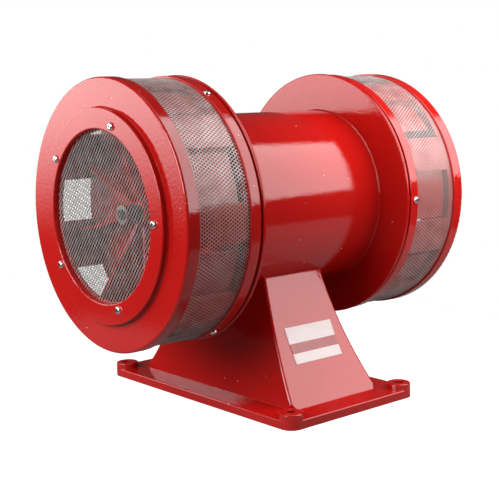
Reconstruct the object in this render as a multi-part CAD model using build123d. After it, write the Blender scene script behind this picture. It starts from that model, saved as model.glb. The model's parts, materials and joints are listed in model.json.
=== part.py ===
from build123d import *
import os
from math import cos, radians, sin

# A double-ended motor siren: one motor drives a chopper wheel in a sound drum
# at each end, and a flared hollow pedestal carries the motor on a bolted base.
# X runs along the motor axis, -Y is the name plate's side and +Z is up.
# The origin is the middle of the base's underside. Lengths are millimetres.
# Drum parts are drawn for the +X end, on an axis through the origin, and then
# placed; angles round the axis start at -Y and grow towards +Z.

# Layout
AXIS_HEIGHT = 205.3
MOTOR_R = 95.3
MOTOR_WALL = 6.0
MOTOR_END = 98.7
FIT = 0.05
CUT = 1.0

# Base and pedestal
BASE_WIDTH = 179.0
BASE_DEPTH = 307.0
BASE_HEIGHT = 9.0
BASE_EDGE_R = 1.8
BOSS_R = 12.5
BOSS_TOP = 15.3
BOSS_HOLE_R = 5.5
BOSS_EDGE_R = 1.6
BOLT_SPACING_X = 154.0
BOLT_SPACING_Y = 282.0
WASHER_ROOM_R = 27.0
COLUMN_TOP = 133.2
FLARE_TOP = 132.0
FLARE_MIDDLE = 71.0
HALF_WIDTHS = (40.4, 48.7, 61.0)
HALF_DEPTHS = (63.5, 88.5, 125.5)
COLUMN_CORNER_R = 3.0
COLUMN_WALL = 5.0
SADDLE_WALL = 6.0

# Bottom cover
HATCH_X = 50.0
HATCH_Y = 114.0
COVER_X = 58.0
COVER_Y = 122.0
COVER_THICKNESS = 2.0
COVER_SCREW_X = 54.0
COVER_SCREW_Y = 118.0

# Name plate
PLATE_HALF_WIDTH = 32.5
PLATE_LOW = 47.0
PLATE_HIGH = 81.5
PLATE_THICKNESS = 0.5

# Drum, measured outwards from the middle of the motor
SHIELD_LIP_R = 135.8
SHIELD_LIP_END = 102.0
SHIELD_LIP_EDGE_R = 1.5
SHIELD_WEB_END = 104.0
DRUM_R = 135.0
DRUM_INNER_R = 127.5
BAND_START = 104.7
BAND_END = 116.5
BAND_EDGE_R = 0.8
SPIGOT_INNER_R = 120.0
SPIGOT_END = 118.0
REGISTER_DEPTH = 6.0
BEARING_BOSS_R = 26.2
BEARING_BOSS_START = 80.0
BEARING_BOSS_END = 109.0
SEAL_R = 13.0
SEAL_END = 107.0
SEAL_ROOM = 0.3
PORT_OUTER_R = 131.7
PORT_COUNT = 9
PORT_FIRST = 0.8
PORT_ANGLE = 23.6
PORT_END = 171.0
MESH_THICKNESS = 0.8
MESH_ARCS = 24
MESH_ARC_GAP = 0.04
CAP_START = 176.5
CAP_FACE = 190.5
CAP_PLATE = 4.5
CAP_EDGE_R = 2.3
CAP_OPENING_R = 84.0
MESH_DISC_R = 104.0
RING_OUTER_R = 106.0
RING_INNER_R = 85.4
RING_FACE = 196.8
RING_EDGE_R = 1.2
RING_FOOT_R = 1.2

# Fasteners: head radius, head height, shank radius, length
FRONT_SCREW = (4.0, 2.6, 2.0, 9.0)
BAND_SCREW = (3.6, 2.2, 1.9, 12.0)
SHIELD_SCREW = (3.8, 3.2, 2.0, 18.0)
SADDLE_SCREW = (6.2, 5.0, 3.5, 11.0)
COVER_SCREW = (3.6, 1.4, 1.8, 6.0)
SMALL_SCREW = (3.4, 2.2, 1.8, 1.9)
HUB_SCREW = (5.2, 2.4, 3.0, 16.0)
FRONT_SCREW_CIRCLE_R = 92.3
FRONT_SCREW_COUNT = 5
BAND_SCREW_PLACE = 112.0
BAND_SCREW_COUNT = 3
SHIELD_SCREW_COUNT = 4
SHIELD_SCREW_FIRST = 45.0
SADDLE_SCREW_PLACE = 26.0
SADDLE_SCREW_ANGLES = (-72.0, -108.0)
HEAD_ROUNDING = 0.8
RECESS_LENGTH = 1.1
RECESS_WIDTH = 0.28

# Shaft, bearings and chopper wheels
CORE_SHAFT_R = 12.5
SHOULDER_R = 10.0
BEARING_BORE_R = 7.5
HUB_SEAT_R = 7.0
HUB_SEAT_START = 120.0
SHAFT_END = 168.0
BEARING_R = 17.5
BEARING_START = 84.0
BEARING_END = 95.0
BALL_R = 2.9
BALL_COUNT = 8
BALL_CIRCLE_R = 12.5
RACE_GROOVE_R = 3.2
OUTER_RACE_LAND_R = 14.6
INNER_RACE_LAND_R = 10.4
CAGE_HALF_THICKNESS = 0.9
CAGE_HALF_WIDTH = 3.9
CAGE_POCKET_R = 3.1
SPRING_WASHER = 0.8
WHEEL_R = 125.5
WHEEL_START = 123.5
WHEEL_DISC = 3.5
WHEEL_END = 169.0
WHEEL_RIM = 4.0
WHEEL_BLADES = 8
RIM_ANGLE = 24.0
VANE_OFFSET = 5.0
VANE_THICKNESS = 3.0
VANE_ROOT_HEIGHT = 20.0
HUB_R = 12.0
HUB_START = 121.0
HUB_END = 150.0
WHEEL_PHASES = {"left": 25.5, "right": 1.5}
KEY_SIZE = 5.0
SPACER_R = 9.0
HUB_WASHER_R = 9.75
HUB_WASHER = 2.0

# Motor
STATOR_HALF = 35.0
STATOR_BORE_R = 50.5
STATOR_SLOTS = 24
SLOT_DEPTH = 16.0
SLOT_WIDTH = 5.0
WINDING_OUTER_R = 80.0
WINDING_INNER_R = 56.0
WINDING_END = 58.0
ROTOR_R = 50.0
CAGE_RING_R = 47.0
CAGE_RING_INNER_R = 34.0
CAGE_RING_END = 43.0

# Wiring
LEAD_R = 1.3
LEAD_SPACING = 4.0
LEAD_BEND_R = 6.0
LEAD_REACH = 38.0
LEAD_DROP = 87.0
GROMMET_R = 7.0
GROMMET_HOLE_R = 5.5
TRAY_X = 54.0
TRAY_Y = 60.0
TRAY_THICKNESS = 2.0
BLOCK_SIZE = (24.0, 44.0, 20.0)
CAPACITOR_R = 17.5
CAPACITOR_LENGTH = 66.0
CAPACITOR_X = -31.0
CLIP_THICKNESS = 1.2
CLIP_WIDTH = 14.0
EARTH_X = 36.0
GLAND_HEIGHT = 38.0
GLAND_BORE_R = 4.5
GLAND_THREAD_R = 8.0
GLAND_SEAT = 114.0
GLAND_INSIDE = 90.0
GLAND_OUTSIDE = 138.0
GLAND_FLANGE_END = 119.0
GLAND_THREAD_END = 124.0
GLAND_ROUNDING = 4.0
GLAND_NUT_MIDDLE = 93.0
GLAND_NUT = 4.0

parts = {}


def ring(outer_r, inner_r, start, end):
    """Tube round the X axis; an inner radius of zero makes a plain disc."""
    place = Pos((start + end) / 2, 0, 0) * Rot(0, 90, 0)
    solid = place * Cylinder(outer_r, end - start)
    if inner_r > 0:
        solid -= place * Cylinder(inner_r, end - start + CUT)
    return solid


def sector(outer_r, inner_r, start, end, angle):
    """Piece of a tube that spans an angle, with its middle at -Y."""
    reach = 2 * outer_r
    half_span = reach * sin(radians(angle / 2))
    length = reach * cos(radians(angle / 2))
    outline = make_face(Polyline((0, 0), (-length, half_span), (-length, -half_span), (0, 0)))
    wedge = Pos(start, 0, 0) * extrude(Plane.YZ * outline, end - start)
    return ring(outer_r, inner_r, start, end) & wedge


def circles(solid, radius, place):
    """Round edges of one radius at one place along X."""
    def wanted(edge):
        near_place = abs(edge.center(CenterOf.BOUNDING_BOX).X - place) < FIT
        return near_place and abs(edge.radius - radius) < FIT
    return solid.edges().filter_by(GeomType.CIRCLE).filter_by(wanted)


def turn(shape, angle):
    """Turn a shape round the axis, from -Y towards +Z."""
    return Rot(-angle, 0, 0) * shape


def around(shape, count, first=0.0):
    return [turn(shape, first + 360 * k / count) for k in range(count)]


def without(solid, tools):
    for tool in tools:
        solid -= tool
    return solid


def screw(size):
    """Round-headed screw along X, its head standing on x = 0."""
    head_r, head_height, shank_r, length = size
    head = ring(head_r, 0, 0, head_height)
    head = fillet(circles(head, head_r, head_height), HEAD_ROUNDING * head_height)
    blade = Box(head_height, RECESS_LENGTH * head_r, RECESS_WIDTH * head_r)
    for angle in (0, 90):
        head -= Rot(angle, 0, 0) * Pos(head_height, 0, 0) * blade
    return head + ring(shank_r, 0, -length, 0)


def screw_hole(size):
    """Room for a screw whose head is sunk into its plate."""
    head_r, head_height, shank_r, length = size
    return ring(head_r, 0, 0, head_height) + ring(shank_r, 0, -length, 0)


def radial(shape, place, radius):
    """Point a shape made along X outwards at -Y, at a place and radius."""
    return Pos(place, -radius, 0) * Rot(0, 0, -90) * shape


def to_end(shape, side):
    """Move a drum part from the drawing axis to its own end of the motor."""
    heading = 180 if side == "left" else 0
    return Pos(0, 0, AXIS_HEIGHT) * Rot(0, 0, heading) * shape


def both_ends(shapes):
    return Compound([to_end(shape, side) for side in ("left", "right") for shape in shapes])


# Fasteners of one drum, on the drawing axis

def front_screws():
    one = Pos(RING_FACE, -FRONT_SCREW_CIRCLE_R, 0) * screw(FRONT_SCREW)
    return around(one, FRONT_SCREW_COUNT, 180)


def band_screws():
    one = radial(screw(BAND_SCREW), BAND_SCREW_PLACE, DRUM_R)
    return around(one, BAND_SCREW_COUNT)


def shield_screws():
    circle_r = MOTOR_R - MOTOR_WALL / 2
    one = Pos(SHIELD_WEB_END, -circle_r, 0) * screw(SHIELD_SCREW)
    return around(one, SHIELD_SCREW_COUNT, SHIELD_SCREW_FIRST)


def saddle_screws():
    """Radial screws up through the saddle into the motor's wall."""
    head_r = MOTOR_R + SADDLE_WALL
    return [turn(radial(screw(SADDLE_SCREW), x, head_r), angle)
            for x in (-SADDLE_SCREW_PLACE, SADDLE_SCREW_PLACE) for angle in SADDLE_SCREW_ANGLES]


def under_cover(shape):
    """Set a shape made along X at each cover screw's place, pointing down."""
    one = Pos(0, 0, COVER_SCREW[1]) * Rot(0, 90, 0) * shape
    spots = [(x, y) for x in (-COVER_SCREW_X, COVER_SCREW_X)
             for y in (-COVER_SCREW_Y, 0, COVER_SCREW_Y)]
    return [Pos(x, y, 0) * one for x, y in spots]


# Pedestal

def flare(halves, shrink):
    """Outline of the column seen from one side: two mirrored arcs."""
    top, middle, foot = [half - shrink for half in halves]
    right = [Line((foot, BASE_HEIGHT), (-foot, BASE_HEIGHT))]
    for s in (1, -1):
        arc = ThreePointArc((s * foot, BASE_HEIGHT), (s * middle, FLARE_MIDDLE), (s * top, FLARE_TOP))
        right += [arc, Line((s * top, FLARE_TOP), (s * top, COLUMN_TOP))]
    right.append(Line((top, COLUMN_TOP), (-top, COLUMN_TOP)))
    return make_face(Curve() + right)


def column(shrink):
    front = extrude(Plane.XZ * flare(HALF_WIDTHS, shrink), BASE_DEPTH / 2, both=True)
    side = extrude(Plane.YZ * flare(HALF_DEPTHS, shrink), BASE_WIDTH / 2, both=True)
    return front & side


def hollow():
    """Wiring room inside the column, closed above by the saddle."""
    saddle = Pos(0, 0, AXIS_HEIGHT) * ring(MOTOR_R + SADDLE_WALL, 0, -BASE_WIDTH, BASE_WIDTH)
    hatch = Pos(0, 0, BASE_HEIGHT / 2) * Box(2 * HATCH_X, 2 * HATCH_Y, BASE_HEIGHT + CUT)
    return column(COLUMN_WALL) - saddle + hatch


def bosses(radius, low, high):
    spots = GridLocations(BOLT_SPACING_X, BOLT_SPACING_Y, 2, 2)
    tall = Pos(0, 0, (low + high) / 2) * Cylinder(radius, high - low)
    return [spot * tall for spot in spots]


def gland_hole(radius, start, end):
    place = Pos(0, (start + end) / 2, GLAND_HEIGHT) * Rot(90, 0, 0)
    return place * Cylinder(radius, end - start)


def base_plate():
    outline = RectangleRounded(BASE_WIDTH, BASE_DEPTH, BOSS_R - FIT)
    plate = extrude(outline, BASE_HEIGHT)
    plate = fillet(plate.edges().group_by(Axis.Z)[-1], BASE_EDGE_R)
    for boss in bosses(BOSS_R - FIT, 0, BOSS_TOP):
        top = boss.edges().group_by(Axis.Z)[-1]
        plate += fillet(top, BOSS_EDGE_R)
    return plate


def pedestal():
    body = column(0)
    corners = body.edges().filter_by(lambda edge: edge.length > FLARE_MIDDLE and not edge.is_closed
                                     and edge.geom_type != GeomType.LINE
                                     and abs(edge.center().X) > HALF_WIDTHS[0]
                                     and abs(edge.center().Y) > HALF_DEPTHS[0])
    body = fillet(corners, COLUMN_CORNER_R)
    body = without(body, bosses(WASHER_ROOM_R, BASE_HEIGHT, COLUMN_TOP))
    body += gland_hole(BOSS_R, GLAND_INSIDE, GLAND_SEAT)
    body += base_plate()
    body -= hollow()
    body -= Pos(0, 0, AXIS_HEIGHT) * ring(MOTOR_R, 0, -BASE_WIDTH, BASE_WIDTH)
    body -= Pos(0, 0, COVER_THICKNESS / 2) * Box(2 * COVER_X, 2 * COVER_Y, COVER_THICKNESS)
    body -= gland_hole(GLAND_THREAD_R, GLAND_INSIDE, GLAND_SEAT + CUT)
    body -= Pos(0, 0, AXIS_HEIGHT - MOTOR_R) * Cylinder(GROMMET_R, 4 * SADDLE_WALL)
    body = without(body, bosses(BOSS_HOLE_R, -CUT, BOSS_TOP + CUT))
    body = without(body, under_cover(screw_hole(COVER_SCREW)))
    return without(body, [Pos(0, 0, AXIS_HEIGHT) * one for one in saddle_screws()])


def bottom_cover():
    cover = Pos(0, 0, COVER_THICKNESS / 2) * Box(2 * COVER_X, 2 * COVER_Y, COVER_THICKNESS)
    return without(cover, under_cover(screw_hole(COVER_SCREW)))


def name_plate():
    """Thin blank plate bent to the column's curved front face."""
    top, middle, foot = HALF_DEPTHS
    arc = ThreePointArc((-foot, BASE_HEIGHT), (-middle, FLARE_MIDDLE), (-top, FLARE_TOP))
    bow = Plane.YZ * Pos(arc.arc_center.X, arc.arc_center.Y) * Circle(arc.radius)
    inner = Plane.YZ * Pos(arc.arc_center.X, arc.arc_center.Y) * Circle(arc.radius - PLATE_THICKNESS)
    skin = extrude(bow - inner, PLATE_HALF_WIDTH, both=True)
    window = Pos(0, -BASE_DEPTH / 4, (PLATE_LOW + PLATE_HIGH) / 2)
    window *= Box(2 * PLATE_HALF_WIDTH, BASE_DEPTH / 2, PLATE_HIGH - PLATE_LOW)
    return skin & window


# Drum shells, on the drawing axis

def end_shield(seat_end):
    """Cast plate that closes the motor, holds a bearing and carries the drum."""
    lip = ring(SHIELD_LIP_R, 0, MOTOR_END, SHIELD_LIP_END)
    for place in (MOTOR_END, SHIELD_LIP_END):
        lip = fillet(circles(lip, SHIELD_LIP_R, place), SHIELD_LIP_EDGE_R)
    body = lip + ring(DRUM_INNER_R - FIT, 0, SHIELD_LIP_END, SHIELD_WEB_END)
    body += ring(DRUM_INNER_R - FIT, SPIGOT_INNER_R, SHIELD_WEB_END, SPIGOT_END)
    body += ring(MOTOR_R - MOTOR_WALL - FIT, MOTOR_R - 1.5 * MOTOR_WALL, MOTOR_END - REGISTER_DEPTH, MOTOR_END)
    body += ring(BEARING_BOSS_R, 0, BEARING_BOSS_START, BEARING_BOSS_END)
    body -= ring(BEARING_R, 0, BEARING_BOSS_START - CUT, seat_end)
    body -= ring(BEARING_BORE_R + CUT, 0, seat_end - CUT, SPIGOT_END)
    body -= ring(SEAL_R, 0, SHIELD_LIP_END, SPIGOT_END)
    return without(body, shield_screws() + band_screws())


def rear_band():
    band = ring(DRUM_R, DRUM_INNER_R, BAND_START, BAND_END)
    for place in (BAND_START, BAND_END):
        band = fillet(circles(band, DRUM_R, place), BAND_EDGE_R)
    return without(band, band_screws())


def port_bars():
    """Bars between the sound ports of the fixed port ring."""
    bar = sector(PORT_OUTER_R, DRUM_INNER_R, BAND_END, PORT_END, 360 / PORT_COUNT - PORT_ANGLE)
    return around(bar, PORT_COUNT, PORT_FIRST + 180 / PORT_COUNT)


def mesh_sleeve():
    """Mesh round the ports, as short arcs that meet along hairline joints."""
    inner_r = PORT_OUTER_R + FIT
    arc = sector(inner_r + MESH_THICKNESS, inner_r, BAND_END, CAP_START, 360 / MESH_ARCS - MESH_ARC_GAP)
    return Compound(around(arc, MESH_ARCS))


def front_cap():
    """Rim and front annulus of the drum, with a lip under the mesh sleeve."""
    cap = ring(DRUM_R, DRUM_INNER_R, CAP_START, CAP_FACE)
    cap += ring(DRUM_R - CUT, CAP_OPENING_R, CAP_FACE - CAP_PLATE, CAP_FACE)
    cap = fillet(circles(cap, DRUM_R, CAP_FACE), CAP_EDGE_R)
    cap = fillet(circles(cap, DRUM_R, CAP_START), BAND_EDGE_R)
    cap += ring(PORT_OUTER_R, DRUM_INNER_R, PORT_END, CAP_START)
    cap -= ring(MESH_DISC_R, CAP_OPENING_R - CUT, CAP_FACE - MESH_THICKNESS - 2 * FIT, CAP_FACE + CUT)
    return without(cap, front_screws())


def front_mesh():
    disc = ring(MESH_DISC_R - 2 * FIT, 0, CAP_FACE - MESH_THICKNESS - FIT, CAP_FACE - FIT)
    return without(disc, front_screws())


def front_ring():
    """Raised ring that clamps the front mesh, with a small rounded foot."""
    face_plate = ring(RING_OUTER_R + 4 * RING_FOOT_R, 0, CAP_FACE - CUT, CAP_FACE)
    body = face_plate + ring(RING_OUTER_R, 0, CAP_FACE, RING_FACE)
    body = fillet(circles(body, RING_OUTER_R, CAP_FACE), RING_FOOT_R)
    body = fillet(circles(body, RING_OUTER_R, RING_FACE), RING_EDGE_R)
    body -= face_plate
    body -= ring(RING_INNER_R, 0, CAP_FACE - CUT, RING_FACE + CUT)
    body = fillet(circles(body, RING_INNER_R, RING_FACE), RING_EDGE_R)
    return without(body, front_screws())


# Bearings and seal, on the drawing axis

BEARING_MIDDLE = (BEARING_START + BEARING_END) / 2


def ball_track(radius):
    return Pos(BEARING_MIDDLE, 0, 0) * Rot(0, 90, 0) * Torus(BALL_CIRCLE_R, radius)


def bearing_outer_race():
    return ring(BEARING_R, OUTER_RACE_LAND_R, BEARING_START, BEARING_END) - ball_track(RACE_GROOVE_R)


def bearing_inner_race():
    return ring(INNER_RACE_LAND_R, BEARING_BORE_R, BEARING_START, BEARING_END) - ball_track(RACE_GROOVE_R)


def bearing_balls(radius):
    return around(Pos(BEARING_MIDDLE, -BALL_CIRCLE_R, 0) * Sphere(radius), BALL_COUNT)


def bearing_cage():
    cage = ring(BALL_CIRCLE_R + CAGE_HALF_THICKNESS, BALL_CIRCLE_R - CAGE_HALF_THICKNESS,
                BEARING_MIDDLE - CAGE_HALF_WIDTH, BEARING_MIDDLE + CAGE_HALF_WIDTH)
    return without(cage, bearing_balls(CAGE_POCKET_R))


def shaft_seal():
    return ring(SEAL_R - FIT, BEARING_BORE_R + SEAL_ROOM, SHIELD_LIP_END, SEAL_END)


# Chopper wheel and its fixings, on the drawing axis

def hub_key_at(phase):
    middle = (HUB_START + HUB_END) / 2
    length = HUB_END - HUB_START - 2 * KEY_SIZE
    return turn(Pos(middle, -HUB_SEAT_R, 0) * Box(length, KEY_SIZE, KEY_SIZE), phase)


def wheel_disc(phase):
    disc = ring(WHEEL_R, 0, WHEEL_START, WHEEL_START + WHEEL_DISC)
    disc += ring(HUB_R, 0, HUB_START, HUB_END)
    disc = chamfer(circles(disc, HUB_R, HUB_END), CUT)
    disc -= ring(HUB_SEAT_R, 0, HUB_START - CUT, HUB_END + CUT)
    return disc - hub_key_at(phase)


def wheel_blade():
    """One curved rim plate with its radial vane."""
    floor = WHEEL_START + WHEEL_DISC
    rim = sector(WHEEL_R, WHEEL_R - WHEEL_RIM, floor, WHEEL_END, RIM_ANGLE)
    tip = -(WHEEL_R - WHEEL_RIM / 2)
    root = -(HUB_R + CUT)
    corners = [(floor, root), (floor, tip), (WHEEL_END - CUT, tip), (floor + VANE_ROOT_HEIGHT, root)]
    vane = extrude(make_face(Polyline(*corners, close=True)), VANE_THICKNESS / 2, both=True)
    return rim + turn(vane, VANE_OFFSET)


def wheel_blades(phase):
    return Compound(around(wheel_blade(), WHEEL_BLADES, phase))


def hub_spacer():
    return ring(SPACER_R, HUB_SEAT_R + FIT, HUB_END, SHAFT_END)


def hub_screw():
    return Pos(SHAFT_END + HUB_WASHER, 0, 0) * screw(HUB_SCREW)


def hub_washer():
    return ring(HUB_WASHER_R, 0, SHAFT_END, SHAFT_END + HUB_WASHER) - hub_screw()


def shaft():
    """Stepped shaft through the motor, with a wheel seat at each end."""
    body = ring(CORE_SHAFT_R, 0, -STATOR_HALF, STATOR_HALF)
    body += ring(SHOULDER_R, 0, -BEARING_START, BEARING_START)
    body += ring(BEARING_BORE_R, 0, -HUB_SEAT_START, HUB_SEAT_START)
    body += ring(HUB_SEAT_R, 0, -SHAFT_END, SHAFT_END)
    for side, phase in WHEEL_PHASES.items():
        heading = Rot(0, 0, 180 if side == "left" else 0)
        body -= heading * hub_key_at(phase)
        body -= heading * hub_screw()
    return body


# Motor

def motor_housing():
    """Plain tube with a small rounded foot against each end shield."""
    body = ring(MOTOR_R, 0, -MOTOR_END, MOTOR_END)
    for s in (-1, 1):
        ends = sorted((s * MOTOR_END, s * (MOTOR_END + CUT)))
        shield = ring(MOTOR_R + 4 * RING_FOOT_R, 0, *ends)
        body = fillet(circles(body + shield, MOTOR_R, s * MOTOR_END), RING_FOOT_R) - shield
    body -= ring(MOTOR_R - MOTOR_WALL, 0, -MOTOR_END - CUT, MOTOR_END + CUT)
    body = without(body, saddle_screws())
    for heading in (0, 180):
        body = without(body, [Rot(0, 0, heading) * one for one in shield_screws()])
    return body - Pos(0, 0, -MOTOR_R) * Cylinder(GROMMET_R, 4 * MOTOR_WALL)


def stator_core():
    core = ring(MOTOR_R - MOTOR_WALL - FIT, STATOR_BORE_R, -STATOR_HALF, STATOR_HALF)
    slot = Pos(0, -STATOR_BORE_R - SLOT_DEPTH / 2 + CUT, 0)
    slot *= Box(2 * STATOR_HALF + CUT, SLOT_DEPTH, SLOT_WIDTH)
    core = without(core, around(slot, STATOR_SLOTS, 180 / STATOR_SLOTS))
    wire_way = Box(2 * STATOR_HALF + CUT, 4 * LEAD_SPACING, MOTOR_WALL)
    return core - Pos(0, 0, -MOTOR_R + MOTOR_WALL + CUT) * wire_way


def stator_windings():
    coil = ring(WINDING_OUTER_R, WINDING_INNER_R, STATOR_HALF, WINDING_END)
    coil = fillet(circles(coil, WINDING_OUTER_R, WINDING_END), SLOT_WIDTH)
    return both_ends([coil])


def rotor_core():
    return ring(ROTOR_R, CORE_SHAFT_R, -STATOR_HALF, STATOR_HALF)


def rotor_cage():
    return both_ends([ring(CAGE_RING_R, CAGE_RING_INNER_R, STATOR_HALF, CAGE_RING_END)])


# Wiring inside the pedestal

TRAY_TOP = BASE_HEIGHT + TRAY_THICKNESS
CAPACITOR_Z = TRAY_TOP + CAPACITOR_R + CLIP_THICKNESS


def tray_screw(x, y):
    return Pos(x, y, TRAY_TOP) * Rot(0, -90, 0) * screw(SMALL_SCREW)


def component_tray():
    tray = Pos(0, 0, BASE_HEIGHT + TRAY_THICKNESS / 2) * Box(2 * TRAY_X, 2 * TRAY_Y, TRAY_THICKNESS)
    return tray - tray_screw(EARTH_X, 0)


def terminal_block():
    width, depth, height = BLOCK_SIZE
    block = Pos(0, 0, TRAY_TOP + height / 2) * Box(width, depth, height)
    for k in range(-2, 3):
        for s in (-1, 1):
            corner = Pos(s * width / 2, 2 * k * LEAD_SPACING, TRAY_TOP + height)
            block -= corner * Box(width / 2, 1.5 * LEAD_SPACING, height)
    return block


def run_capacitor():
    can = Rot(0, 0, 90) * ring(CAPACITOR_R, 0, -CAPACITOR_LENGTH / 2, CAPACITOR_LENGTH / 2)
    can = fillet(can.edges().filter_by(GeomType.CIRCLE), CUT)
    return Pos(CAPACITOR_X, 0, CAPACITOR_Z) * can


def capacitor_clip():
    outer_r = CAPACITOR_R + CLIP_THICKNESS
    strap = Rot(0, 0, 90) * ring(outer_r, 0, -CLIP_WIDTH / 2, CLIP_WIDTH / 2)
    foot = Pos(0, 0, -outer_r + CLIP_THICKNESS / 2) * Box(outer_r, CLIP_WIDTH, CLIP_THICKNESS)
    bore = Rot(0, 0, 90) * ring(CAPACITOR_R, 0, -CLIP_WIDTH, CLIP_WIDTH)
    return Pos(CAPACITOR_X, 0, CAPACITOR_Z) * (strap + foot - bore)


def lead_grommet():
    low = AXIS_HEIGHT - MOTOR_R - SADDLE_WALL
    high = AXIS_HEIGHT - MOTOR_R + MOTOR_WALL
    sleeve = Pos(0, 0, (low + high) / 2 - CUT)
    return sleeve * (Cylinder(GROMMET_R, high - low) - Cylinder(GROMMET_HOLE_R, high - low + CUT))


def motor_leads():
    """Three insulated wires from the windings down to the terminal block."""
    high = AXIS_HEIGHT - LEAD_DROP
    leads = []
    for k in (-1, 0, 1):
        y = k * LEAD_SPACING
        route = FilletPolyline((LEAD_REACH, y, high), (0, y, high), (0, y, TRAY_TOP + BLOCK_SIZE[2]),
                               radius=LEAD_BEND_R)
        leads.append(sweep(Plane(route @ 0, z_dir=route % 0) * Circle(LEAD_R), path=route))
    return Compound(leads)


def gland_body():
    body = gland_hole(GLAND_THREAD_R, GLAND_INSIDE, GLAND_SEAT)
    body += gland_hole(BOSS_R - CUT, GLAND_SEAT, GLAND_FLANGE_END)
    body += gland_hole(GLAND_THREAD_R, GLAND_SEAT, GLAND_THREAD_END)
    return body - gland_hole(GLAND_BORE_R, GLAND_INSIDE - CUT, GLAND_OUTSIDE)


def gland_cap():
    cap = gland_hole(BOSS_R - 2 * CUT, GLAND_FLANGE_END, GLAND_OUTSIDE)
    cap = fillet(cap.edges().group_by(Axis.Y)[-1], GLAND_ROUNDING)
    cap -= gland_hole(GLAND_THREAD_R, GLAND_SEAT, GLAND_THREAD_END)
    return cap - gland_hole(GLAND_BORE_R, GLAND_INSIDE, GLAND_OUTSIDE + CUT)


def gland_lock_nut():
    place = Pos(0, GLAND_NUT_MIDDLE, GLAND_HEIGHT) * Rot(90, 0, 0)
    nut = place * extrude(RegularPolygon(BOSS_R - CUT, 6, major_radius=False), GLAND_NUT)
    return nut - gland_hole(GLAND_THREAD_R, GLAND_INSIDE - GLAND_NUT, GLAND_SEAT)


def build():
    parts["pedestal"] = pedestal()
    parts["bottom_cover"] = bottom_cover()
    parts["bottom_cover_screws"] = Compound(under_cover(screw(COVER_SCREW)))
    parts["name_plate"] = name_plate()
    parts["component_tray"] = component_tray()
    parts["terminal_block"] = terminal_block()
    parts["run_capacitor"] = run_capacitor()
    parts["capacitor_clip"] = capacitor_clip()
    parts["earth_screw"] = tray_screw(EARTH_X, 0)
    parts["lead_grommet"] = lead_grommet()
    parts["motor_leads"] = motor_leads()
    parts["gland_body"] = gland_body()
    parts["gland_cap"] = gland_cap()
    parts["gland_lock_nut"] = gland_lock_nut()
    on_axis = Pos(0, 0, AXIS_HEIGHT)
    parts["motor_housing"] = on_axis * motor_housing()
    parts["saddle_screws"] = Compound([on_axis * one for one in saddle_screws()])
    parts["stator_core"] = on_axis * stator_core()
    parts["stator_windings"] = stator_windings()
    parts["shaft"] = on_axis * shaft()
    parts["rotor_core"] = on_axis * rotor_core()
    parts["rotor_cage"] = rotor_cage()
    parts["shield_screws"] = both_ends(shield_screws())
    parts["band_screws"] = both_ends(band_screws())
    parts["front_screws"] = both_ends(front_screws())
    parts["shaft_seals"] = both_ends([shaft_seal()])
    parts["hub_spacers"] = both_ends([hub_spacer()])
    parts["hub_washers"] = both_ends([hub_washer()])
    parts["hub_screws"] = both_ends([hub_screw()])
    spring_washer = ring(BEARING_R - CUT, OUTER_RACE_LAND_R, BEARING_END, BEARING_END + SPRING_WASHER)
    parts["bearing_spring_washer"] = to_end(spring_washer, "right")
    parts["hub_keys"] = Compound([to_end(hub_key_at(phase), side) for side, phase in WHEEL_PHASES.items()])
    for side, phase in WHEEL_PHASES.items():
        seat_end = BEARING_END + (SPRING_WASHER if side == "right" else 0)
        drum = {
            "end_shield": end_shield(seat_end),
            "rear_band": rear_band(),
            "port_bars": Compound(port_bars()),
            "mesh_sleeve": mesh_sleeve(),
            "front_cap": front_cap(),
            "front_mesh": front_mesh(),
            "front_ring": front_ring(),
            "bearing_outer_race": bearing_outer_race(),
            "bearing_inner_race": bearing_inner_race(),
            "bearing_balls": Compound(bearing_balls(BALL_R)),
            "bearing_cage": bearing_cage(),
            "wheel_disc": wheel_disc(phase),
            "wheel_blades": wheel_blades(phase),
        }
        for name, shape in drum.items():
            parts[side + "_" + name] = to_end(shape, side)


build()
os.makedirs("parts", exist_ok=True)
for name, shape in parts.items():
    export_step(shape, os.path.join("parts", name + ".step"))
print(len(parts), "parts written")
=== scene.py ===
import json
import math

import bmesh
import bpy
import numpy as np
from mathutils import Matrix, Vector


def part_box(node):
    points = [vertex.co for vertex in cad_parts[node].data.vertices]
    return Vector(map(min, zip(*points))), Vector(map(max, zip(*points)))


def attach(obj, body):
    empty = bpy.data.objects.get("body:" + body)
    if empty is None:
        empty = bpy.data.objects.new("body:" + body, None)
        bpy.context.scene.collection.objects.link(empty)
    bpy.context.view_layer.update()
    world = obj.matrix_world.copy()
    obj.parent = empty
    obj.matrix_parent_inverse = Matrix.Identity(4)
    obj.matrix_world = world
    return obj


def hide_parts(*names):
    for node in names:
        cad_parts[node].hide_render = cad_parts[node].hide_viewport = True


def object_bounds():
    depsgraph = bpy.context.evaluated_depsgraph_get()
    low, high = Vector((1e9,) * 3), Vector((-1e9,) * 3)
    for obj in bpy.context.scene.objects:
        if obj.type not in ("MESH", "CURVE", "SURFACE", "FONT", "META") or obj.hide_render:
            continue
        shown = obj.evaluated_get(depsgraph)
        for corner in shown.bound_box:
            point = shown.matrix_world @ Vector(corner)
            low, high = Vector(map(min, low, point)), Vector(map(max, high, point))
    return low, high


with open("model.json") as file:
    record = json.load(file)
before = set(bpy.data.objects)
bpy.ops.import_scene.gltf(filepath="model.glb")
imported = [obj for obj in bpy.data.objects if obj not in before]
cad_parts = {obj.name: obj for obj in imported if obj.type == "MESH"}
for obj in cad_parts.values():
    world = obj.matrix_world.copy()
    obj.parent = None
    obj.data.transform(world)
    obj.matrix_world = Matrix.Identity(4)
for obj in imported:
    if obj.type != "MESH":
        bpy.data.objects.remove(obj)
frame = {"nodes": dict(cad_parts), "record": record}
cad_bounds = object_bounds()
nodes = frame["nodes"]

MM = 0.001
SIDES = ("left", "right")

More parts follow.
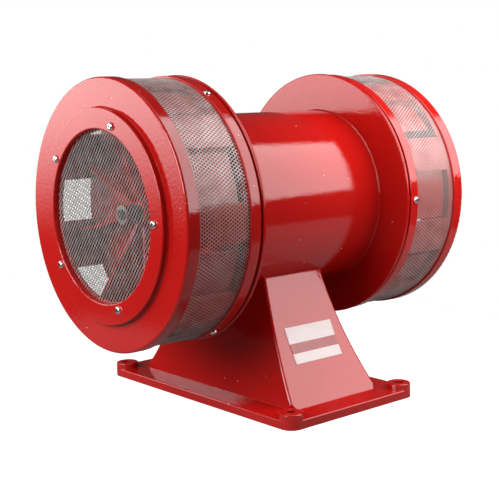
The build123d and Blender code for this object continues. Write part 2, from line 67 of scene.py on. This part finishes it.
# Expanded metal, as a sleeve around each drum and a disc over its air intake. A strand
# zigzags along the diamonds' long way and meets the next one in short level bonds. The
# zigzag is worked out a few spare steps past each end and then cut.
STRAND_THICKNESS = 0.28 * MM
BOND_LENGTH = 1.0 * MM
SPARE_STEPS = 2
SLEEVE_LONG_WAY = 5.49 * MM
SLEEVE_ROWS = 476
SLEEVE_STRAND = 0.58 * MM
SLEEVE_TILT = math.radians(7)
SLEEVE_STANDOFF = 0.25 * MM
DISC_LONG_WAY = 5.41 * MM
DISC_ROW_PITCH = 2.42 * MM
DISC_STRAND = 0.96 * MM
DISC_TILT = math.radians(-34)
DISC_SLOPE = math.radians(9.6)

# name plate: lower and upper edge of the red strip, above the base's underside
STRIP_LOW = 56.5 * MM
STRIP_HIGH = 66.0 * MM

# Enamel: the radius of its edges and how much of the thin colour shows on them, the depth
# of its orange peel, and the height of the coarse waves beside the fine ones
EDGE_RADIUS = 0.7 * MM
EDGE_WEAR = 0.35
PEEL_DEPTH = 0.16 * MM
COARSE_PEEL = 0.4

# cosine between a face's normal and its rounded normal, on a plain face and a full edge
PLAIN_FACE = 0.995
FULL_EDGE = 0.90
BEVEL_SAMPLES = 4

# the part of a speck's radius that has its full colour
SPECK_CORE = 0.6

# ranges of a noise value that are spread over the whole of what it drives
NOISE_WIDE = (0.25, 0.75)
NOISE_MIDDLE = (0.3, 0.7)
METAL_TONE = (0.3, 0.65)
GRAIN_SHADE = (0.75, 1.15)

# camera: place in metres, turns in radians (yaw from +Y towards +X), lens and sensor in mm
CAMERA_AT = Vector((-0.75375, -0.88276, 0.32027))
CAMERA_YAW = 0.703238
CAMERA_PITCH = -0.144389
CAMERA_ROLL = -0.0230736
CAMERA_LENS = 77.16
SENSOR = 36.0

# Studio panels: size is width and height in metres, and bearing is where the light comes
# from, as azimuth and elevation in degrees. The distance is from the siren's middle.
KEY_AT = Vector((0.545, -0.404, 0.603))
KEY_BEARING = (-18.1, 35.7)
KEY_SIZE = (1.10, 0.766)
KEY_RADIANCE = 4.9
KEY_ROLL = math.radians(8.7)
SIDE_AT = Vector((-0.54, 0.54, 0.365))
SIDE_FACING = Vector((0.545, -0.838, 0))
SIDE_SIZE = (0.56, 0.54)
SIDE_RADIANCE = 4.7
SIDE_FADE = 0.48
HIGH_LEFT_BEARING = (-86, 22)
HIGH_LEFT_DISTANCE = 1.6
HIGH_LEFT_SIZE = (0.9, 0.9)
HIGH_LEFT_RADIANCE = 10.5
OVERHEAD_BEARING = (0, 88)
OVERHEAD_DISTANCE = 1.3
OVERHEAD_SIZE = (0.8, 0.8)
OVERHEAD_RADIANCE = 0.7

# the sky's brightness as light on the siren, and as the camera sees it
SKY_LIGHT = 0.06
SKY_SEEN = 1.0

FLOOR_HALF = 0.47
FLOOR_GAP = 0.2 * MM
FLOOR_TONE = 0.23
FLOOR_ROUGHNESS = 0.9


# ---------------------------------------------------------------- materials

class Finish:
    """A node material under construction, in the object's own coordinates."""

    def __init__(self, name):
        self.material = bpy.data.materials.new(name)
        self.material.use_nodes = True
        self.tree = self.material.node_tree
        self.shader = self.tree.nodes["Principled BSDF"]
        self.place = self.node("ShaderNodeTexCoord").outputs["Object"]

    def node(self, kind, **values):
        made = self.tree.nodes.new(kind)
        for key, value in values.items():
            setattr(made, key, value)
        return made

    def feed(self, socket, value):
        """link another node's output to a socket, or set the socket to a constant"""
        if isinstance(value, bpy.types.NodeSocket):
            self.tree.links.new(value, socket)
        else:
            socket.default_value = value

    def noise(self, scale, detail=2.0, stretch=(1, 1, 1)):
        mapping = self.node("ShaderNodeMapping")
        self.feed(mapping.inputs["Vector"], self.place)
        mapping.inputs["Scale"].default_value = stretch
        made = self.node("ShaderNodeTexNoise")
        self.feed(made.inputs["Vector"], mapping.outputs["Vector"])
        made.inputs["Scale"].default_value = scale
        made.inputs["Detail"].default_value = detail
        return made.outputs["Fac"]

    def math(self, operation, a, b):
        made = self.node("ShaderNodeMath", operation=operation)
        self.feed(made.inputs[0], a)
        self.feed(made.inputs[1], b)
        return made.outputs["Value"]

    def span(self, value, low, high, to_low=0.0, to_high=1.0):
        """a value's range from low to high, spread from to_low to to_high"""
        made = self.node("ShaderNodeMapRange")
        for name, given in (("Value", value), ("From Min", low), ("From Max", high),
                            ("To Min", to_low), ("To Max", to_high)):
            self.feed(made.inputs[name], given)
        return made.outputs["Result"]

    def mix(self, factor, a, b):
        """a colour between a and b, each a plain tuple or another node's output"""
        made = self.node("ShaderNodeMix", data_type="RGBA")
        self.feed(made.inputs["Factor"], factor)
        self.feed(made.inputs[6], (*a, 1.0) if isinstance(a, tuple) else a)
        self.feed(made.inputs[7], (*b, 1.0) if isinstance(b, tuple) else b)
        return made.outputs[2]

    def specks(self, scale, size, share):
        """small round dots, in a share of the cells of a Voronoi pattern"""
        cells = self.node("ShaderNodeTexVoronoi")
        self.feed(cells.inputs["Vector"], self.place)
        cells.inputs["Scale"].default_value = scale
        dot = self.span(cells.outputs["Distance"], size, size * SPECK_CORE)
        pick = self.node("ShaderNodeSeparateColor")
        self.feed(pick.inputs["Color"], cells.outputs["Color"])
        chosen = self.math("LESS_THAN", pick.outputs["Red"], share)
        return self.math("MULTIPLY", dot, chosen)

    def edges(self, radius):
        """1 on an outer or inner edge, 0 on a plain face, and the rounded normal"""
        bevel = self.node("ShaderNodeBevel", samples=BEVEL_SAMPLES)
        bevel.inputs["Radius"].default_value = radius
        dot = self.node("ShaderNodeVectorMath", operation="DOT_PRODUCT")
        self.feed(dot.inputs[0], bevel.outputs["Normal"])
        self.feed(dot.inputs[1], self.node("ShaderNodeNewGeometry").outputs["Normal"])
        return self.span(dot.outputs["Value"], PLAIN_FACE, FULL_EDGE), bevel.outputs["Normal"]

    def bump(self, height, depth, normal=None):
        """fine relief in the base and in the clear coat, which has a normal of its own"""
        made = self.node("ShaderNodeBump")
        made.inputs["Distance"].default_value = depth
        self.feed(made.inputs["Height"], height)
        if normal is not None:
            self.feed(made.inputs["Normal"], normal)
        self.feed(self.shader.inputs["Normal"], made.outputs["Normal"])
        self.feed(self.shader.inputs["Coat Normal"], made.outputs["Normal"])

    def done(self, colour, roughness, **constants):
        """link colour and roughness, and set the other sockets, named with _ for a space"""
        self.feed(self.shader.inputs["Base Color"], colour)
        self.feed(self.shader.inputs["Roughness"], roughness)
        for name, value in constants.items():
            self.shader.inputs[name.replace("_", " ")].default_value = value
        return self.material


def red_enamel():
    """thick glossy stoving enamel with orange peel, pale dust nibs and thin edges"""
    deep, full = (0.36, 0.005, 0.004), (0.43, 0.008, 0.006)
    thin, nib = (0.86, 0.05, 0.04), (0.90, 0.62, 0.58)
    f = Finish("red_enamel")
    edge, rounded = f.edges(EDGE_RADIUS)
    red = f.mix(f.noise(14, 4), deep, full)
    red = f.mix(f.math("MULTIPLY", edge, EDGE_WEAR), red, thin)
    red = f.mix(f.specks(scale=62, size=0.045, share=0.6), red, nib)
    peel = f.math("ADD", f.noise(300, 3), f.math("MULTIPLY", f.noise(70, 2), COARSE_PEEL))
    f.bump(peel, PEEL_DEPTH, rounded)
    return f.done(red, f.span(f.noise(40, 3), *NOISE_MIDDLE, 0.30, 0.42),
                  Coat_Weight=1.0, Coat_Roughness=0.025, Coat_IOR=1.5, Specular_IOR_Level=0.0)


def metal(name, dull, bright, rough, patches=60, grain=900, stretch=(1, 1, 1), depth=0.01,
          metallic=1.0):
    """bare or plated metal with drawn, turned or rolled grain, its depth in millimetres"""
    f = Finish(name)
    fine = f.noise(grain, 3, stretch)
    tone = f.math("MULTIPLY", f.noise(patches, 4), f.span(fine, *NOISE_WIDE, *GRAIN_SHADE))
    f.bump(fine, depth * MM)
    return f.done(f.mix(f.span(tone, *METAL_TONE), dull, bright),
                  f.span(tone, *METAL_TONE, rough[1], rough[0]), Metallic=metallic)


def moulded(name, dark, light, rough, grain=500, depth=0.03):
    """moulded plastic or rubber with a fine spark-eroded grain, its depth in millimetres"""
    f = Finish(name)
    f.bump(f.noise(grain, 3), depth * MM)
    return f.done(f.mix(f.noise(45, 4), dark, light),
                  f.span(f.noise(120, 3), *NOISE_MIDDLE, rough[0], rough[1]))


def label():
    """blank white plate with a plain red strip across its middle, slightly rubbed"""
    f = Finish("blank_label")
    split = f.node("ShaderNodeSeparateXYZ")
    f.feed(split.inputs["Vector"], f.place)
    height = split.outputs["Z"]
    inside = f.math("MULTIPLY", f.math("GREATER_THAN", height, STRIP_LOW),
                    f.math("LESS_THAN", height, STRIP_HIGH))
    white = f.mix(f.noise(50, 4), (0.54, 0.45, 0.44), (0.62, 0.52, 0.51))
    red = f.mix(f.noise(50, 4), (0.24, 0.008, 0.008), (0.32, 0.012, 0.012))
    f.bump(f.noise(700, 2), 0.008 * MM)
    return f.done(f.mix(inside, white, red),
                  f.span(f.noise(90, 3), *NOISE_MIDDLE, 0.28, 0.42), Coat_Weight=0.3)


MATERIALS = {
    "red_enamel": red_enamel(),
    "bright_mesh": metal("bright_mesh", (0.44, 0.43, 0.42), (0.74, 0.72, 0.70),
                         (0.34, 0.50), patches=90, grain=1500, metallic=0.5),
    "plated_screws": metal("plated_screws", (0.62, 0.62, 0.61), (0.90, 0.90, 0.89),
                           (0.08, 0.22), patches=160, grain=1800, depth=0.004),
    "bare_steel": metal("bare_steel", (0.40, 0.40, 0.41), (0.66, 0.66, 0.66),
                        (0.22, 0.38), stretch=(6, 1, 1)),
    "black_steel": metal("black_steel", (0.025, 0.025, 0.027), (0.07, 0.07, 0.07),
                         (0.30, 0.48)),
    "core_steel": metal("core_steel", (0.14, 0.14, 0.15), (0.28, 0.28, 0.29),
                        (0.40, 0.60), stretch=(9, 1, 1)),
    "winding_copper": metal("winding_copper", (0.36, 0.11, 0.04), (0.62, 0.24, 0.09),
                            (0.28, 0.45), stretch=(1, 4, 4), depth=0.05),
    "bare_aluminium": metal("bare_aluminium", (0.58, 0.59, 0.60), (0.78, 0.79, 0.80),
                            (0.30, 0.48)),
    "zinc_sheet": metal("zinc_sheet", (0.42, 0.43, 0.44), (0.64, 0.65, 0.66),
                        (0.30, 0.50), patches=35),
    "brass": metal("brass", (0.52, 0.34, 0.10), (0.78, 0.58, 0.22), (0.22, 0.38)),
    "black_plastic": moulded("black_plastic", (0.016, 0.016, 0.017),
                             (0.034, 0.034, 0.035), (0.38, 0.55)),
    "cream_plastic": moulded("cream_plastic", (0.66, 0.60, 0.46), (0.78, 0.73, 0.60),
                             (0.35, 0.50)),
    "black_rubber": moulded("black_rubber", (0.014, 0.014, 0.014),
                            (0.030, 0.030, 0.030), (0.60, 0.80), grain=300, depth=0.06),
    "lead_insulation": moulded("lead_insulation", (0.42, 0.02, 0.02),
                               (0.58, 0.05, 0.04), (0.35, 0.50)),
    "blank_label": label(),
}

for part in frame["record"]["subparts"]:
    mesh = nodes[part["node"]].data
    mesh.materials.clear()
    mesh.materials.append(MATERIALS[part["material_slot"]])


# ---------------------------------------------------------------- expanded metal

def zigzag(row, long_way, pitch, low, high):
    """centre line of one strand between two rows, from low to high along the long way"""
    half = long_way / 2
    first = math.floor(low / half) - SPARE_STEPS
    last = math.ceil(high / half) + SPARE_STEPS
    steps = np.arange(first, last + 1)
    at = np.repeat(steps * half + (row % 2) * half, 2)
    at[0::2] -= BOND_LENGTH / 2
    at[1::2] += BOND_LENGTH / 2
    level = np.repeat((row + np.abs(steps) % 2) * pitch, 2)
    along = np.concatenate(([low], at[(at > low) & (at < high)], [high]))
    return along, np.interp(along, at, level)


def strands_mesh(name, paths, width, tilt, place):
    """one mesh of square-edged tilted strands, each closed, along the paths"""
    c, s = math.cos(tilt), math.sin(tilt)
    section = [(a * width / 2 * c - b * STRAND_THICKNESS / 2 * s,
                a * width / 2 * s + b * STRAND_THICKNESS / 2 * c)
               for a, b in ((-1, -1), (1, -1), (1, 1), (-1, 1))]
    corners = len(section)
    points, faces = [], []
    for along, across in paths:
        start = len(points)
        for u, v in zip(along, across):
            points += [place(u, v + dv, dw) for dv, dw in section]
        end = len(points)
        for k in range(start, end - corners, corners):
            for i in range(corners):
                j = (i + 1) % corners
                faces.append((k + i, k + j, k + corners + j, k + corners + i))
        faces.append(tuple(reversed(range(start, start + corners))))
        faces.append(tuple(range(end - corners, end)))
    mesh = bpy.data.meshes.new(name)
    mesh.from_pydata(points, [], faces)
    work = bmesh.new()
    work.from_mesh(mesh)
    bmesh.ops.recalc_face_normals(work, faces=work.faces)
    work.to_mesh(mesh)
    work.free()
    mesh.materials.append(MATERIALS["bright_mesh"])
    made = bpy.data.objects.new(name, mesh)
    bpy.context.scene.collection.objects.link(made)
    return made


def stands_for(piece, node):
    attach(piece, "housing")
    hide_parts(node)


def sleeve(side):
    """strands along the drum's axis, their outer side a standoff outside the CAD sleeve"""
    low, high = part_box(side + "_mesh_sleeve")
    middle = (low.z + high.z) / 2
    radius = (high.z - low.z) / 2 + SLEEVE_STANDOFF - STRAND_THICKNESS / 2
    pitch = 2 * math.pi * radius / SLEEVE_ROWS

    def place(u, v, w):
        turn = v / radius
        out = radius + w
        return u, out * math.sin(turn), middle + out * math.cos(turn)

    paths = [zigzag(row, SLEEVE_LONG_WAY, pitch, low.x, high.x) for row in range(SLEEVE_ROWS)]
    strands = strands_mesh(side + "_sleeve_strands", paths, SLEEVE_STRAND, SLEEVE_TILT, place)
    stands_for(strands, side + "_mesh_sleeve")


def disc(side):
    """flat disc; seen from outside the drum, u runs left and slightly down, and v up"""
    low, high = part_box(side + "_front_mesh")
    middle = (low + high) / 2
    radius = (high.z - low.z) / 2 - DISC_STRAND
    c, s = math.cos(DISC_SLOPE), math.sin(DISC_SLOPE)
    hand = -1 if side == "left" else 1

    def place(u, v, w):
        return middle.x + w, middle.y - hand * (u * c + v * s), middle.z - u * s + v * c

    paths = []
    last = int(radius / DISC_ROW_PITCH) - 1
    for row in range(-last, last):
        reach = max(abs(row), abs(row + 1)) * DISC_ROW_PITCH
        half = math.sqrt(radius ** 2 - reach ** 2)
        paths.append(zigzag(row, DISC_LONG_WAY, DISC_ROW_PITCH, -half, half))
    strands = strands_mesh(side + "_front_strands", paths, DISC_STRAND, DISC_TILT, place)
    stands_for(strands, side + "_front_mesh")


for side in SIDES:
    sleeve(side)
    disc(side)


# ---------------------------------------------------------------- studio

def towards(azimuth, elevation):
    """unit vector; azimuth 0 is -Y and turns towards +X, in degrees"""
    a, e = math.radians(azimuth), math.radians(elevation)
    return Vector((math.sin(a) * math.cos(e), -math.cos(a) * math.cos(e), math.sin(e)))


def softbox(name, at, facing, size, radiance, roll=0.0, fade=0.0):
    """panel at a point, lit face square to a direction; roll lifts the end on its own right

    fade: the share of the panel's height over which its light comes up from nothing
    """
    width, height = size
    data = bpy.data.lights.new(name, "AREA")
    data.shape = "RECTANGLE"
    data.size, data.size_y = width, height
    data.energy = radiance * math.pi * width * height
    lamp = bpy.data.objects.new(name, data)
    lamp.location = at
    square = facing.to_track_quat("-Z", "Y").to_matrix() @ Matrix.Rotation(roll, 3, "Z")
    lamp.rotation_euler = square.to_euler()
    lamp.visible_camera = False
    if fade:
        data.use_nodes = True
        tree = data.node_tree
        across = tree.nodes.new("ShaderNodeSeparateXYZ")
        place = tree.nodes.new("ShaderNodeNewGeometry").outputs["Parametric"]
        ramp = tree.nodes.new("ShaderNodeMapRange")
        ramp.interpolation_type = "SMOOTHSTEP"
        ramp.inputs["From Max"].default_value = fade
        tree.links.new(place, across.inputs["Vector"])
        tree.links.new(across.outputs["Y"], ramp.inputs["Value"])
        tree.links.new(ramp.outputs["Result"], tree.nodes["Emission"].inputs["Strength"])
    bpy.context.scene.collection.objects.link(lamp)


def panels():
    low, high = cad_bounds
    heart = (low + high) / 2
    softbox("key", KEY_AT, -towards(*KEY_BEARING), KEY_SIZE, KEY_RADIANCE, roll=KEY_ROLL)
    softbox("side", SIDE_AT, SIDE_FACING, SIDE_SIZE, SIDE_RADIANCE, fade=SIDE_FADE)
    way = towards(*HIGH_LEFT_BEARING)
    softbox("high_left", heart + way * HIGH_LEFT_DISTANCE, -way, HIGH_LEFT_SIZE,
            HIGH_LEFT_RADIANCE)
    way = towards(*OVERHEAD_BEARING)
    softbox("overhead", heart + way * OVERHEAD_DISTANCE, -way, OVERHEAD_SIZE,
            OVERHEAD_RADIANCE)


def sky():
    """plain white behind the siren, which lights it only faintly"""
    world = bpy.data.worlds.new("studio")
    bpy.context.scene.world = world
    world.use_nodes = True
    tree = world.node_tree
    seen = tree.nodes.new("ShaderNodeLightPath")
    tone = tree.nodes.new("ShaderNodeMapRange")
    tone.inputs["To Min"].default_value = SKY_LIGHT
    tone.inputs["To Max"].default_value = SKY_SEEN
    background = tree.nodes["Background"]
    background.inputs["Strength"].default_value = 1.0
    tree.links.new(seen.outputs["Is Camera Ray"], tone.inputs["Value"])
    tree.links.new(tone.outputs["Result"], background.inputs["Color"])


def pale_floor():
    """matt grey to the light, and white to the camera"""
    pale = bpy.data.materials.new("pale_floor")
    pale.use_nodes = True
    tree = pale.node_tree
    shader = tree.nodes["Principled BSDF"]
    shader.inputs["Base Color"].default_value = (FLOOR_TONE, FLOOR_TONE, FLOOR_TONE, 1)
    shader.inputs["Roughness"].default_value = FLOOR_ROUGHNESS
    shader.inputs["Emission Color"].default_value = (1, 1, 1, 1)
    seen = tree.nodes.new("ShaderNodeLightPath")
    tree.links.new(seen.outputs["Is Camera Ray"], shader.inputs["Emission Strength"])
    return pale


def ground():
    """square floor, a small gap below the base"""
    low, _ = cad_bounds
    mesh = bpy.data.meshes.new("floor")
    f = FLOOR_HALF
    mesh.from_pydata([(-f, -f, 0), (f, -f, 0), (f, f, 0), (-f, f, 0)], [], [(0, 1, 2, 3)])
    mesh.materials.append(pale_floor())
    floor = bpy.data.objects.new("floor", mesh)
    floor.location.z = low.z - FLOOR_GAP
    bpy.context.scene.collection.objects.link(floor)


def camera():
    ahead = Vector((math.sin(CAMERA_YAW) * math.cos(CAMERA_PITCH),
                    math.cos(CAMERA_YAW) * math.cos(CAMERA_PITCH), math.sin(CAMERA_PITCH)))
    level = Vector((math.cos(CAMERA_YAW), -math.sin(CAMERA_YAW), 0))
    upright = level.cross(ahead)
    c, s = math.cos(CAMERA_ROLL), math.sin(CAMERA_ROLL)
    right = c * level + s * upright
    up = -s * level + c * upright
    data = bpy.data.cameras.new("camera")
    data.lens = CAMERA_LENS
    data.sensor_width = SENSOR
    made = bpy.data.objects.new("camera", data)
    turn = Matrix((right, up, -ahead)).transposed()
    made.matrix_world = Matrix.Translation(CAMERA_AT) @ turn.to_4x4()
    bpy.context.scene.collection.objects.link(made)
    bpy.context.scene.camera = made


panels()
sky()
ground()
camera()
bpy.context.scene.view_settings.view_transform = "Standard"
